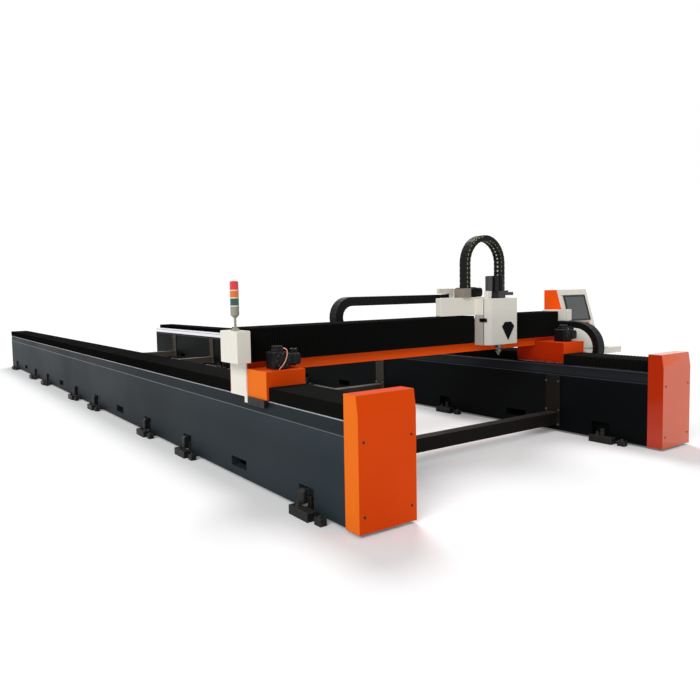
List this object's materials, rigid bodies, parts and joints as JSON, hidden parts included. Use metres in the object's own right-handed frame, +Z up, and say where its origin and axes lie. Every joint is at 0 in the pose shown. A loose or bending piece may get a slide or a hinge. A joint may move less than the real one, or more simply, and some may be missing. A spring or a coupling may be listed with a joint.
{
  "type": "fiber laser cutting machine",
  "caption": "Gantry laser cutting machine: a cross beam with a cutting head travels on two long floor beds under pleated covers.",
  "frame": {"origin": "middle of the footprint, on the floor", "axes": "+Y along the beds away from the end covers, +X across the beds towards the operator console, +Z up"},
  "size_m": [4.294, 11.324, 1.7899],
  "materials": {
    "bed_paint": "satin dark slate grey",
    "orange_paint": "semi-gloss orange",
    "cream_paint": "satin off-white",
    "bellows_cloth": "coated black bellows cloth",
    "chain_plastic": "black",
    "ground_steel": "ground",
    "black_oxide": "blackened",
    "motor_black": "satin black",
    "lamp_red": "clear red",
    "lamp_amber": "clear amber",
    "lamp_green": "clear green",
    "tower_grey": "grey",
    "screen_glass": "dark screen",
    "beige_box": "beige",
    "chrome_nozzle": "worn",
    "pink_lead": "pinkish white",
    "stop_red": "red",
    "button_green": "green",
    "window_black": "black"
  },
  "bodies": {
    "beds": {"bed_left": "bed_paint", "bed_right": "bed_paint", "tie_bars": "bed_paint", "end_cover_left": "orange_paint", "end_cover_right": "orange_paint", "levelling_wedges": "black_oxide", "levelling_screws": "ground_steel", "floor_anchor_blocks": "black_oxide", "bed_rails": "ground_steel", "bed_racks": "ground_steel", "edge_strips": "ground_steel", "bed_bellows_left_near": "bellows_cloth", "bed_bellows_left_far": "bellows_cloth", "bed_bellows_right_near": "bellows_cloth", "bed_bellows_right_far": "bellows_cloth", "bed_chain_trough": "bed_paint", "bed_chain_lower": "chain_plastic"},
    "gantry": {"bed_chain_upper": "chain_plastic", "bed_chain_arm": "cream_paint", "cross_beam": "orange_paint", "truck_left": "orange_paint", "truck_right": "orange_paint", "truck_carriage_blocks": "ground_steel", "guide_shoes": "black_oxide", "drive_units": "motor_black", "motor_lead": "pink_lead", "box_bracket": "cream_paint", "junction_box": "cream_paint", "tower_base": "tower_grey", "lamp_green": "lamp_green", "lamp_amber": "lamp_amber", "lamp_red": "lamp_red", "beam_rails": "ground_steel", "beam_bellows_left": "bellows_cloth", "beam_bellows_right": "bellows_cloth", "beam_chain_tray": "orange_paint", "beam_chain_lower": "chain_plastic", "console_cabinet": "cream_paint", "console_side_panel": "orange_paint", "console_screen": "screen_glass", "keyboard_shelf": "cream_paint", "console_arm": "cream_paint"},
    "head": {"head_housing": "cream_paint", "saddle_cover": "cream_paint", "sight_window": "window_black", "head_carriage_blocks": "ground_steel", "x_servo": "motor_black", "terminal_box": "beige_box", "beam_chain_bracket": "cream_paint", "beam_chain_upper": "chain_plastic", "z_chain": "chain_plastic"},
    "z_slide": {"laser_head": "motor_black", "nozzle": "chrome_nozzle", "fibre_connector": "black_oxide"},
    "bed_chain_turn": {"bed_chain_bend": "chain_plastic"},
    "beam_chain_turn": {"beam_chain_bend": "chain_plastic"},
    "left_pinion": {"pinion_left": "ground_steel"},
    "right_pinion": {"pinion_right": "ground_steel"},
    "stop_button": {"e_stop": "stop_red"},
    "start_key": {"start_button": "button_green"}
  },
  "joints": [
    {"name": "gantry_travel", "type": "slide", "parent": "beds", "child": "gantry", "axis": [0, 1, 0], "range_m": [-0.45, 8.2], "deforming": ["bed_bellows_left_near", "bed_bellows_right_near", "bed_bellows_left_far", "bed_bellows_right_far", "bed_chain_lower"]},
    {"name": "head_travel", "type": "slide", "parent": "gantry", "child": "head", "axis": [1, 0, 0], "range_m": [-1.4, 0.45], "deforming": ["beam_bellows_left", "beam_bellows_right", "beam_chain_lower"]},
    {"name": "z_travel", "type": "slide", "parent": "head", "child": "z_slide", "axis": [0, 0, 1], "range_m": [-0.12, 0.06], "deforming": ["z_chain"]},
    {"name": "bed_chain_roll", "type": "slide", "parent": "gantry", "child": "bed_chain_turn", "axis": [0, 1, 0], "range_m": [-4.11, 0.23], "deforming": ["bed_chain_upper"]},
    {"name": "beam_chain_roll", "type": "slide", "parent": "head", "child": "beam_chain_turn", "axis": [1, 0, 0], "range_m": [-0.23, 0.71], "deforming": ["beam_chain_upper"]},
    {"name": "left_pinion_turn", "type": "hinge", "parent": "gantry", "child": "left_pinion", "pos_m": [-1.887, -4.588, 0.635], "axis": [0, 0, 1], "range_deg": [-16400, 16400]},
    {"name": "right_pinion_turn", "type": "hinge", "parent": "gantry", "child": "right_pinion", "pos_m": [1.247, -4.588, 0.635], "axis": [0, 0, 1], "range_deg": [-16400, 16400]},
    {"name": "stop_press", "type": "slide", "parent": "gantry", "child": "stop_button", "axis": [0, -0.9604, 0.2785], "range_m": [-0.005, 0], "stiffness_N_per_m": 2000},
    {"name": "start_press", "type": "slide", "parent": "gantry", "child": "start_key", "axis": [0, -0.9604, 0.2785], "range_m": [-0.003, 0], "stiffness_N_per_m": 1000}
  ],
  "couplings": [
    {"joint": "bed_chain_roll", "follows": "gantry_travel", "ratio": -0.5},
    {"joint": "beam_chain_roll", "follows": "head_travel", "ratio": -0.5},
    {"joint": "left_pinion_turn", "follows": "gantry_travel", "rad_per_m": -34.483},
    {"joint": "right_pinion_turn", "follows": "gantry_travel", "rad_per_m": 34.483}
  ]
}
